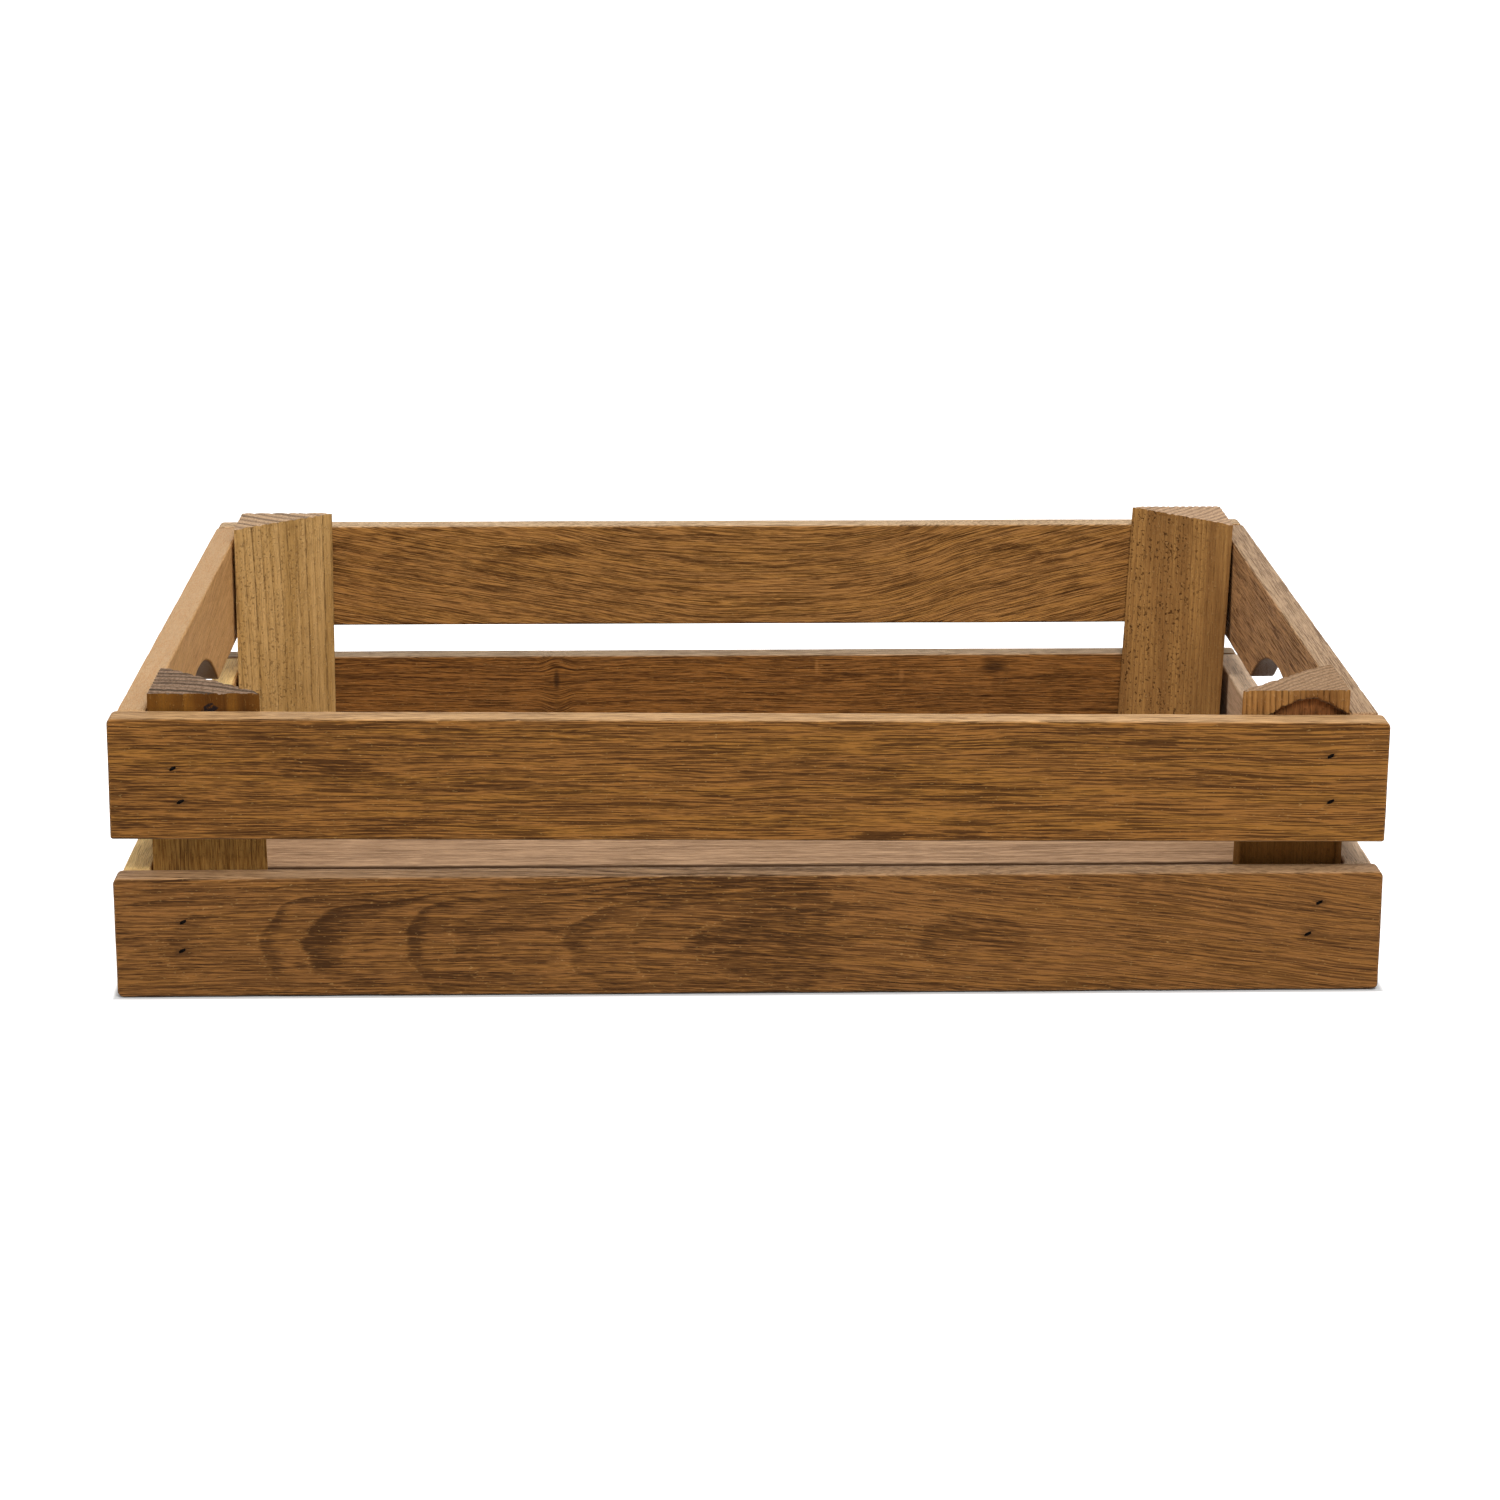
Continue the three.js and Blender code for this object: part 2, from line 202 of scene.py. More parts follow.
# A post's skin as quads: a triangle of points for each sawn end, and rows of points up the faces. Its
# start and end along the long wall may differ at the foot, the two tips are blunted flat, and every point
# keeps its ring, so that ridges and colour follow the same growth. A hollow may be torn out of a = 0.
def post_skin(top, foot, legs, along_b, height, heart, ring_width, seed, flute, ends, sway, hollow):
    cells, tip = 72, BLUNT_TIP / POST_LEG
    coarse_rows, fine_top, fine_step = 38, 10, 0.5
    below = height - fine_top
    rows = [below * k / coarse_rows for k in range(coarse_rows)]
    rows += [below + fine_step * k for k in range(round(fine_top / fine_step) + 1)]
    least_sink, sawn_off, tear_depth = 0.02, 0.06, 2.4
    tip_wear, tip_reach = 0.35, 2.0
    edge = [(i, 0) for i in range(cells)] + ["tip_a"] + [(cells - k, k) for k in range(cells + 1)]
    edge += ["tip_b"] + [(0, cells - k) for k in range(1, cells)]
    points, rings, bared, quads = [], [], [], []
    front, left = Vector((0, 0, -1)), Vector((0, -1, 0))
    slant = Vector((0, math.sqrt(0.5), math.sqrt(0.5)))

    def spot(key, up):
        start, end, leg = (f + (t - f) * up / height for t, f in zip((*top, legs[0]), (*foot, legs[1])))
        i, j = {"tip_a": (cells, 0), "tip_b": (0, cells)}.get(key, key)
        a, b = i / cells, j / cells
        if key == (i, j) and i + j == cells:
            a, b = a + tip * b, b + tip * a
        if along_b:
            return leg * a, start + (end - start) * b
        return start + (end - start) * a, leg * b

    def outward(key):
        if key == "tip_a":
            return (front - left).normalized()
        if key == "tip_b":
            return (left - front).normalized()
        i, j = key
        if key in ((cells, 0), (0, cells)):
            return (slant - (left if j == 0 else front)).normalized()
        way = Vector((0, 0, 0))
        if j == 0:
            way += front
        if i == 0:
            way += left
        if i + j == cells:
            way += slant
        return way.normalized()

    def growth(up, a, b):
        lean = noise.noise(Vector((up * 0.012, a * 0.05, seed)))
        far = math.hypot(a - heart[0], b - heart[1]) + sway * lean
        far += 0.5 * noise.noise(Vector((up * 0.03, a * 0.25, b * 0.25 + seed)))
        return far / ring_width

    def groove(ring):
        return abs(2 * ((ring + 0.1) % 1.0) - 1) ** 3

    def add(up, key, on_end):
        a, b = spot(key, up)
        ring = growth(up, a, b)
        way = outward(key)
        torn = hollow(up, b) if hollow and key != "tip_b" and key[0] == 0 else 0.0
        sink = 0.0
        if way.length:
            cut = flute if len(key) == 2 and key != (0, 0) else 0.3 * flute
            sink = sawn_off + cut * groove(ring) * (1 - torn)
            sink -= 0.1 * noise.noise(Vector((up * 0.45, (a - b) * 0.08, seed * 3)))
            sink = max(least_sink, sink) + tear_depth * torn
        drop = 0.0
        if on_end and up > 0:
            chip = max(0.0, noise.noise(Vector((a * 0.5, b * 0.5, seed + 9))) - 0.15)
            drop = 0.1 + ends * groove(ring) + (1.5 * chip if way.length else 0.25 * chip)
            end_a, end_b = (legs[0], top[1]) if along_b else (top[1], legs[0])
            drop += tip_wear * max(0.0, tip_reach - min(end_a - a, end_b - b))
        points.append((up - drop, a - way.y * sink, b - way.z * sink))
        rings.append(ring)
        bared.append(torn)
        return len(points) - 1

    skirt = [[add(up, key, k in (0, len(rows) - 1)) for key in edge] for k, up in enumerate(rows)]
    for low, high in zip(skirt, skirt[1:]):
        for p in range(len(edge)):
            q = (p + 1) % len(edge)
            quads.append((low[p], low[q], high[q], high[p]))
    for row, up in ((skirt[0], 0.0), (skirt[-1], height)):
        at = dict(zip(edge, row))
        for i in range(1, cells):
            for j in range(1, cells - i):
                at[i, j] = add(up, (i, j), True)
        for i in range(cells):
            for j in range(cells - i):
                quad = [at[i, j], at[i + 1, j], at[i, j + 1]]
                if i + j + 2 <= cells:
                    quad.insert(2, at[i + 1, j + 1])
                if i == cells - 1:
                    quad.insert(1, at["tip_a"])
                if j == cells - 1:
                    quad.append(at["tip_b"])
                quads.append(tuple(quad) if up else tuple(reversed(quad)))
    return points, quads, {"ring": rings, "torn": bared}


# A piece stands for one CAD node: its points are in millimetres in the board's own frame. Edges that turn
# by more than the angle stay sharp.
SHARP_EDGE = math.radians(42)


def stand_in(node, points, quads, layers, matrix, material, slot):
    mesh = bpy.data.meshes.new(node + "_wood")
    mesh.from_pydata([(x * TO_M, y * TO_M, z * TO_M) for x, y, z in points], [], quads)
    for name, values in layers.items():
        mesh.attributes.new(name, "FLOAT", "POINT").data.foreach_set("value", values)
    mesh.shade_smooth()
    mesh.set_sharp_from_angle(angle=SHARP_EDGE)
    mesh.materials.append(material)
    piece = bpy.data.objects.new(node + "_wood", mesh)
    bpy.context.collection.objects.link(piece)
    piece.matrix_world = matrix
    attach(piece, "root")
    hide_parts(node)


# The front right post has a hollow torn out of its front face, whose upper lip shows above the slat.
def torn_front(up, b):
    lip_top, lip_middle, foot_low, foot_middle, slope = 83.0, 12, 8.0, 10, 0.8
    fall = 0.075 if b > lip_middle else 0.098
    lip = lip_top - fall * abs(b - lip_middle) ** 1.65
    foot = foot_low + 0.03 * (b - foot_middle) ** 2
    ragged = 0.5 * noise.noise(Vector((b * 0.35, up * 0.2, 5.0)))
    return min(1.0, max(0.0, (min(lip - up, up - foot) + ragged) / slope))


# Each post has its start and end along the long wall at the top and the foot, the heart of its tree and
# the width of a ring, how deep the rings stand in its faces (flute) and its sawn top (ends), and its looks.
posts = {
    "front_left_post": dict(
        turn=0, top=(0.3, 35.3), foot=(0, 36.6), heart=(-12, -75), ring=2.9, seed=1,
        flute=0.22, ends=0.42, sway=1.2, lines=0.5, flecks=0.1,
        # Its painted light tone lifts the shaded front face between the slats.
        pale=(138, 91, 31), deep=(88, 51, 13), sawn=(112, 87, 66), painted_light_tone=(184, 138, 74),
        knot=(80.6, 20.1)),
    "front_right_post": dict(
        turn=90, top=(0, 33.9), foot=(0.8, 36), heart=(-42, -48), ring=1.6, seed=2,
        flute=0.4, ends=0.2, sway=1.6, lines=0.8, flecks=0.1,
        pale=(164, 117, 64), deep=(124, 83, 42), sawn=(136, 105, 75), hollow=torn_front),
    "back_right_post": dict(
        turn=180, top=(0, 33.8), foot=(3, 37.5), heart=(64, -30), ring=2.2, seed=3,
        flute=0.12, ends=0.25, sway=1.0, lines=0.45, flecks=0.9,
        pale=(178, 132, 74), deep=(146, 104, 57), sawn=(168, 135, 104)),
    "back_left_post": dict(
        turn=270, top=(0, 34.5), foot=(0.2, 33.8), legs=(30, 34), heart=(-60, 60), ring=3.9, seed=4,
        flute=0.16, ends=0.3, sway=1.2, lines=0.7, flecks=0.45,
        pale=(206, 165, 105), deep=(180, 140, 82), sawn=(162, 131, 100)),
}
upright = Matrix(((0, 1, 0, 0), (0, 0, 1, 0), (1, 0, 0, 0), (0, 0, 0, 1)))
for node, cut in posts.items():
    low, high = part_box(node)
    height = (high[2] - low[2]) * TO_MM
    turn = cut["turn"]
    at_left, at_front, along_b = turn in (0, 270), turn in (0, 90), turn in (90, 270)
    corner = Vector((low[0] if at_left else high[0], low[1] if at_front else high[1], low[2]))
    legs = cut.get("legs", (POST_LEG, POST_LEG))
    skin = post_skin(
        cut["top"], cut["foot"], legs, along_b, height, cut["heart"], cut["ring"], cut["seed"],
        cut["flute"], cut["ends"], cut["sway"], cut.get("hollow"))
    wood = rough_sawn(
        node + "_rough_oak", cut["seed"], cut["pale"], cut["deep"], cut["sawn"], cut["lines"],
        cut["flecks"], cut["ends"], cut.get("painted_light_tone"), cut.get("knot"))
    stand = Matrix.Translation(corner) @ Matrix.Rotation(math.radians(turn), 4, "Z") @ upright
    stand_in(node, *skin, stand, wood, "post_wood")


# Wall slats: planed oak with sanded arrises, two courses to each wall. The long ones cover the ends of
# the end slats, and each end is held by two brads whose heads are punched below the face.
def oak_grain():
    tree = bpy.data.node_groups.new("oak_grain", "ShaderNodeTree")
    amounts = ("Heart Depth", "Heart Height", "Ring Width", "Bold Ring", "Figure", "Tone And Painted Light", "Lift",
               "Wander", "Bend", "Knot", "Pores")
    takes = {"Vector": ("Place", "Lie"), "Float": amounts, "Color": ("Pale", "Gold", "Deep", "Edge Wear And Light")}
    gives = {"Color": ("Color",), "Float": ("Roughness", "Height")}
    for way, sockets in (("INPUT", takes), ("OUTPUT", gives)):
        for kind, names in sockets.items():
            for name in names:
                tree.interface.new_socket(name, in_out=way, socket_type="NodeSocket" + kind)
    open_pore, torn_speck, pricked_end = tone(58, 32, 10), tone(206, 160, 96), tone(48, 28, 12)
    dark_knot, pale_knot = tone(44, 24, 9), tone(172, 118, 64)
    # Painted shade: one tone for faces turned down, and one nearly black for the punched pits.
    painted_underside_shade, painted_pit_shade = tone(62, 39, 20), tone(14, 8, 5)
    given = tree.nodes.new("NodeGroupInput").outputs
    result = tree.nodes.new("NodeGroupOutput").inputs

    # The fibres wander a little to each side, bend round knots and drift across the board.
    sway = calc(tree, "SUBTRACT", clumps(tree, given["Lie"], 90, 22, 2), 0.5)
    sway = calc(tree, "ADD", times(tree, sway, given["Wander"], 5.0), given["Bend"])
    _, y, z = put(tree, "SeparateXYZ", {0: given["Place"]}).outputs
    shift = put(tree, "CombineXYZ", {2: calc(tree, "ADD", sway, given["Lift"])}).outputs[0]
    fibres = put(tree, "VectorMath", {0: given["Lie"], 1: shift}, operation="ADD").outputs[0]
    fibre = clumps(tree, fibres, 13, 0.3, 1, 0.6)
    fuzz = clumps(tree, fibres, 3.6, 0.33, 1)
    strand = clumps(tree, fibres, 70, 2.0, 1)

    # Growth rings are shells round the heart of the tree, cut by the board at an angle and feathered by
    # the fibres. Each is darkest at its outer edge, and some years leave a bolder ring than others.
    slow = calc(tree, "SUBTRACT", clumps(tree, given["Lie"], 36, 9, 2), 0.5)
    down = calc(tree, "SUBTRACT", y, given["Heart Depth"])
    side = times(tree, calc(tree, "SUBTRACT", calc(tree, "ADD", z, sway), given["Heart Height"]), 1.1)
    steep = times(tree, calc(tree, "MAXIMUM", calc(tree, "SUBTRACT", side, 13.0), 0.0), 0.08)
    side = times(tree, side, calc(tree, "ADD", steep, 1.0))
    far = calc(tree, "SQRT", calc(tree, "ADD", times(tree, down, down), times(tree, side, side)))
    far = calc(tree, "ADD", far, times(tree, slow, 2.2))
    far = calc(tree, "ADD", far, times(tree, calc(tree, "SUBTRACT", fibre, 0.5), 0.7))
    ring = calc(tree, "DIVIDE", far, given["Ring Width"])
    phase = calc(tree, "FRACT", ring)
    count = calc(tree, "FLOOR", ring)
    year = chance(tree, count)
    sixth = calc(tree, "MODULO", count, 6.0)
    bold = put(tree, "Math", {0: sixth, 1: given["Bold Ring"], 2: 0.5}, operation="COMPARE").outputs[0]
    strength = calc(tree, "MAXIMUM", calc(tree, "ADD", times(tree, year, 0.6), 0.2), bold)
    arms = calc(tree, "ADD", times(tree, ease(tree, side, -16, 2), 0.7), 0.3)
    strength = times(tree, strength, given["Figure"], arms)
    early = times(tree, ease(tree, phase, 0.42, 0.85), ease(tree, phase, 1.02, 0.9), strength)
    border = calc(tree, "MAXIMUM", ease(tree, phase, 0.14, 0.0), ease(tree, phase, 0.94, 1.0))
    border = times(tree, border, given["Figure"])

    # Vessels are cut open as thin dark dashes; rays leave finer ones, and torn fibres pale specks.
    edge = put(tree, "Attribute", attribute_name="edge").outputs["Fac"]
    dash = calc(tree, "ADD", clumps(tree, fibres, 22, 0.32, 0), times(tree, early, 0.03))
    dash = ease(tree, dash, 0.61, 0.66)
    bolder = ease(tree, clumps(tree, fibres, 28, 0.5, 0), 0.66, 0.7)
    dash = calc(tree, "MAXIMUM", dash, bolder)
    tick = ease(tree, clumps(tree, fibres, 9.0, 0.32, 0), 0.6, 0.68)
    pore = times(tree, calc(tree, "MAXIMUM", dash, times(tree, tick, 0.55)), given["Pores"])
    pore = times(tree, pore, calc(tree, "SUBTRACT", 1.0, times(tree, edge, 0.35)))
    golden = ease(tree, clumps(tree, fibres, 60, 2.2, 2), 0.46, 0.6)
    cloud = ease(tree, clumps(tree, given["Lie"], 70, 8, 2), 0.32, 0.68)
    speck = calc(tree, "ADD", clumps(tree, given["Lie"], 1.7, 0.5, 1), times(tree, border, 0.1))
    speck = ease(tree, speck, 0.69, 0.75)

    # The colour goes from pale and gold to deep where the wood is dark. The narrow faces and arrises take
    # the edge tone, partly rubbed paler and partly painted light on the tops.
    # The tone run darkens the wood, and where it drops below zero it is painted light.
    dark = calc(tree, "ADD", times(tree, early, 0.85), given["Tone And Painted Light"])
    dark = calc(tree, "ADD", dark, times(tree, calc(tree, "SUBTRACT", strand, 0.38), 0.9))
    streak = calc(tree, "MAXIMUM", calc(tree, "SUBTRACT", fibre, 0.51), -0.07)
    dark = calc(tree, "ADD", dark, times(tree, streak, 3.2))
    dark = calc(tree, "ADD", dark, times(tree, calc(tree, "SUBTRACT", fuzz, 0.5), 1.9))
    dark = calc(tree, "ADD", dark, times(tree, calc(tree, "SUBTRACT", cloud, 0.3), 0.3))
    dark = calc(tree, "SUBTRACT", dark, times(tree, border, 0.12))
    color = tint(tree, times(tree, golden, 0.35), given["Pale"], given["Gold"])
    color = tint(tree, dark, color, given["Deep"])
    # The edge tone is partly rubbed wear and partly painted light, set per board to how bright its top
    # looks.
    arris = put(tree, "Attribute", attribute_name="arris").outputs["Fac"]
    worn = tint(tree, times(tree, dark, 0.7), given["Edge Wear And Light"], given["Deep"])
    worn_and_lit_edges = calc(tree, "MAXIMUM", times(tree, edge, 0.8), times(tree, arris, 0.22))
    color = tint(tree, worn_and_lit_edges, color, worn)
    color = tint(tree, pore, color, open_pore)
    color = tint(tree, times(tree, speck, 0.25), color, torn_speck)
    color = tint(tree, given["Knot"], color, dark_knot)
    color = tint(tree, times(tree, given["Knot"], -1.0), color, pale_knot)

    # Sawn ends show the rings as arcs. The lower edges and the cut of a hand hold, facing down, get painted
    # shade, and the punched pits get painted shade that is nearly black.
    pricked = times(tree, early, ease(tree, clumps(tree, given["Lie"], 30, 0.45), 0.5, 0.6))
    arcs = calc(tree, "ADD", times(tree, ease(tree, phase, 0.3, 0.9), 0.5), 0.3)
    sawn = tint(tree, arcs, given["Pale"], given["Deep"])
    sawn = tint(tree, times(tree, pricked, 0.7), sawn, pricked_end)
    color = tint(tree, times(tree, end_grain(tree), 0.9), color, sawn)
    # Painted shade on faces turned down.
    under = put(tree, "Attribute", attribute_name="under").outputs["Fac"]
    color = tint(tree, times(tree, under, 0.9), color, painted_underside_shade)
    # Painted shade, nearly black, in each punched pit.
    pit = put(tree, "Attribute", attribute_name="pit").outputs["Fac"]
    color = tint(tree, pit, color, painted_pit_shade)

    tree.links.new(color, result["Color"])
    rough = calc(tree, "ADD", 0.55, times(tree, pore, 0.3))
    tree.links.new(rough, result["Roughness"])
    high = calc(tree, "ADD", times(tree, fibre, 0.8), times(tree, fuzz, 0.6))
    high = calc(tree, "SUBTRACT", high, pore)
    tree.links.new(calc(tree, "ADD", high, times(tree, speck, 0.4)), result["Height"])
    return tree


grain = oak_grain()


# A run is a curve along the board, listed as points: x in millimetres, at most half a run from the middle,
# then the value there.
HALF_RUN = 200.0


def along_board(tree, place, run):
    if isinstance(run, (int, float)):
        return float(run)
    values = [v for _, v in run]
    low, span = min(values), max(values) - min(values)
    x = put(tree, "SeparateXYZ", {0: place}).outputs[0]
    reach = put(tree, "MapRange", {0: x, 1: -HALF_RUN, 2: HALF_RUN}).outputs[0]
    curve = put(tree, "FloatCurve", {"Value": reach})
    line = curve.mapping.curves[0]
    while len(line.points) < len(run):
        line.points.new(0.5, 0.5)
    for point, (at, value) in zip(line.points, run):
        point.location = ((at + HALF_RUN) / (2 * HALF_RUN), (value - low) / span)
    curve.mapping.update()
    return calc(tree, "ADD", times(tree, curve.outputs[0], span), low)


# Knots go straight through a board: x and z of each in millimetres, its half length and half height, and
# how dark it is, below zero for a pale mark.
def knotted(tree, place, knots):
    bend, core = 0.0, 0.0
    for x, z, long, tall, dark in knots:
        off = put(tree, "VectorMath", {0: place, 1: (x, 0.0, z)}, operation="SUBTRACT").outputs[0]
        shrink = (1 / long, 0.0, 1 / tall)
        near = put(tree, "VectorMath", {0: off, 1: shrink}, operation="MULTIPLY").outputs[0]
        far = put(tree, "VectorMath", {0: near}, operation="LENGTH").outputs["Value"]
        rise = put(tree, "SeparateXYZ", {0: off}).outputs[2]
        push = -0.4 * max(dark, 0.0)
        bend = calc(tree, "ADD", bend, times(tree, rise, ease(tree, far, 6.0, 0.3), push))
        core = calc(tree, "ADD", core, times(tree, ease(tree, far, 1.2, 0.3), dark))
    return bend, core


# Planed oak for one board. The depth and height are those of the heart of the tree, and these two, the
# figure, the tone with its painted light and the lift may be runs.
def planed_oak(name, seed, pale, gold, deep, edge, depth, height, ring=3.0, bold=-1, figure=1.0,
               tone_and_painted_light=0.0, lift=0.0, wander=1.0, pores=0.7, knots=()):
    material = bpy.data.materials.new(name)
    material.use_nodes = True
    tree = material.node_tree
    place, lie = place_in_board(tree, seed)
    bend, core = knotted(tree, place, knots)
    wires = {
        "Place": place, "Lie": lie, "Ring Width": ring, "Bold Ring": bold, "Wander": wander, "Bend": bend,
        "Knot": core, "Pores": pores, "Pale": tone(*pale), "Gold": tone(*gold), "Deep": tone(*deep),
        "Edge Wear And Light": tone(*edge),
    }
    runs = {"Heart Depth": depth, "Heart Height": height, "Figure": figure, "Tone And Painted Light": tone_and_painted_light, "Lift": lift}
    wires.update({key: along_board(tree, place, run) for key, run in runs.items()})
    wood = put(tree, "Group", wires, node_tree=grain).outputs
    finish_wood(material, wood["Color"], wood["Roughness"], wood["Height"], 0.75)
    return material


# Grid lines across one side of a slat: close together round the arris and the corner, even between, and
# set about each brad.
def grid_lines(size, rounding, corner, step, windows):
    half = size / 2
    turn = [rounding * math.tan(math.radians(a)) for a in (0, 15, 30, 45)]
    bends = [half - rounding + t for t in turn] + [half - corner, half - (corner + rounding) / 2]
    beside = [w + side for w, reach in windows for side in (-reach, 0.0, reach)]
    fixed = sorted({round(f, 4) for f in bends + [-b for b in bends] + beside})
    count = max(1, round((size - 2 * rounding) / step))
    even = [-half + rounding + (size - 2 * rounding) * k / count for k in range(1, count)]
    even = [e for e in even if all(abs(e - w) > reach for w, reach in windows)]
    return sorted(fixed + [e for e in even if all(abs(e - f) > step * 0.35 for f in fixed)])


# The radius of a slat's lower corners, half sizes of the patch of grid about a brad, and the pit in it: half
# its length and height, its turn and how square it is.
PLAIN_CORNER, KNOCKED_CORNER = 0.9, 1.9
PATCH_X, PATCH_Z = 2.6, 2.2
PIT_LONG, PIT_TALL, PIT_TURN, PIT_SQUARE = 1.3, 0.52, math.radians(28), 2.4


# A slat's skin: length along x, width along z, outer face at -y, with sanded arrises, rounded corners,
# small knocks along the edges and a punched pit for every brad. An arch lifts the lower edge for a hand
# hold.
def slat_skin(length, width, thickness, brads, seed, arch=None, lower_corner=PLAIN_CORNER):
    rounding, corner = 0.8, 2.0
    step_x, step_y, step_z = 2.6, 2.3, 1.9
    xs = grid_lines(length, rounding, corner, step_x, [(x, PATCH_X) for x, _ in brads])
    zs = grid_lines(width, rounding, corner, step_z, [(z, PATCH_Z) for _, z in brads])
    ys = grid_lines(thickness, rounding, rounding, step_y, [])
    points, quads, index = [], [], {}
    layers = {"arris": [], "edge": [], "under": [], "pit": []}

    # The square corners of the outline are drawn in to a round. Gives the place, the way out and how far
    # in a point is.
    def outline(x, z):
        along, tall = abs(x), abs(z)
        bend = corner if z > 0 else lower_corner
        dx, dz = along - length / 2 + bend, tall - width / 2 + bend
        if dx > 0 and dz > 0:
            far = max(dx, dz)
            dx, dz = dx * far / math.hypot(dx, dz), dz * far / math.hypot(dx, dz)
            along, tall = length / 2 - bend + dx, width / 2 - bend + dz
            way, inward = (dx / far, dz / far), bend - far
        elif length / 2 - along < width / 2 - tall:
            way, inward = (1.0, 0.0), length / 2 - along
        else:
            way, inward = (0.0, 1.0), width / 2 - tall
        way = Vector((math.copysign(way[0], x), 0.0, math.copysign(way[1], z)))
        return Vector((math.copysign(along, x), 0.0, math.copysign(tall, z))), way, inward

    def lifted(x, z):
        if arch is None or abs(x) >= arch[0]:
            return z
        radius = (arch[0] ** 2 + arch[1] ** 2) / (2 * arch[1])
        lift = math.sqrt(radius ** 2 - x ** 2) - radius + arch[1]
        top = width / 2 - rounding
        return z + lift * min(1.0, max(0.0, (top - z) / (2 * top)))

    def add(spot, worn, narrow, under, pit):
        points.append(spot)
        for name, value in zip(layers, (worn, narrow, under, pit)):
            layers[name].append(value)
        return len(points) - 1

    def at(i, j, k):
        if (i, j, k) in index:
            return index[i, j, k]
        x, y, z = xs[i], ys[j], zs[k]
        spot, way, inward = outline(x, z)
        spot.y = y
        over, proud = max(0.0, rounding - inward), max(0.0, abs(y) - thickness / 2 + rounding)
        worn = min(over, proud) / rounding
        if worn > 0:
            pull = max(over, proud) / math.hypot(over, proud)
            spot -= way * over * (1 - pull)
            spot.y = math.copysign(thickness / 2 - rounding + proud * pull, y)
        out = (way * over + Vector((0.0, math.copysign(proud, y), 0.0))).normalized()
        knock = max(0.0, noise.noise(Vector((x * 0.09, y * 0.3, z * 0.2 + seed * 7))) - 0.1)
        wave = 0.08 * noise.noise(Vector((x * 0.03, y * 0.1 + seed, z * 0.08)))
        spot += out * (wave - 0.08 - 0.9 * knock * worn)
        # Faces turned down are marked for painted shade.
        under = max(0.0, -out.z) ** 2
        index[i, j, k] = add((spot.x, spot.y, lifted(spot.x, spot.z)), worn, out.z ** 2, under, 0.0)
        return index[i, j, k]

    def in_pit(i, k):
        x, z = (xs[i] + xs[i + 1]) / 2, (zs[k] + zs[k + 1]) / 2
        return any(abs(x - bx) < PATCH_X and abs(z - bz) < PATCH_Z for bx, bz in brads)

    def face(*corners):
        quads.append(tuple(at(*corner) for corner in corners))

    last_x, last_y, last_z = len(xs) - 1, len(ys) - 1, len(zs) - 1
    for i in range(last_x):
        for k in range(last_z):
            if not in_pit(i, k):
                face((i, 0, k), (i + 1, 0, k), (i + 1, 0, k + 1), (i, 0, k + 1))
            face((i, last_y, k), (i, last_y, k + 1), (i + 1, last_y, k + 1), (i + 1, last_y, k))
        for j in range(last_y):
            face((i, j, 0), (i, j + 1, 0), (i + 1, j + 1, 0), (i + 1, j, 0))
            face((i, j, last_z), (i + 1, j, last_z), (i + 1, j + 1, last_z), (i, j + 1, last_z))
    for j in range(last_y):
        for k in range(last_z):
            face((0, j, k), (0, j, k + 1), (0, j + 1, k + 1), (0, j + 1, k))
            face((last_x, j, k), (last_x, j + 1, k), (last_x, j + 1, k + 1), (last_x, j, k + 1))

    # Each pit is a turned slot: its rim is a little crushed, and it goes down past the brad's head.
    for bx, bz in brads:
        left, right = (xs.index(round(bx + side, 4)) for side in (-PATCH_X, PATCH_X))
        low, high = (zs.index(round(bz + side, 4)) for side in (-PATCH_Z, PATCH_Z))
        loop = [(i, low) for i in range(left, right)] + [(right, k) for k in range(low, high)]
        loop += [(i, high) for i in range(right, left, -1)] + [(left, k) for k in range(high, low, -1)]
        rim = [at(i, 0, k) for i, k in loop]
        # The pit layer marks the crushed rim lightly and the walls fully for painted shade.
        for grow, sink, pit in ((1.08, 0.05, 0.3), (1.0, 0.3, 1.0), (0.95, 1.1, 1.0), (0.9, 2.0, 1.0)):
            ring = []
            for i, k in loop:
                angle = math.atan2(zs[k] - bz, xs[i] - bx)
                c = abs(math.cos(angle - PIT_TURN)) / PIT_LONG
                s = abs(math.sin(angle - PIT_TURN)) / PIT_TALL
                far = grow * (c ** PIT_SQUARE + s ** PIT_SQUARE) ** (-1 / PIT_SQUARE)
                spot = (bx + far * math.cos(angle), sink - thickness / 2, bz + far * math.sin(angle))
                ring.append(add(spot, 0.0, 0.0, 0.0, pit))
            for p in range(len(rim)):
                q = (p + 1) % len(rim)
                quads.append((rim[p], rim[q], ring[q], ring[p]))
            rim = ring
        quads.append(tuple(rim))
    return points, quads, layers


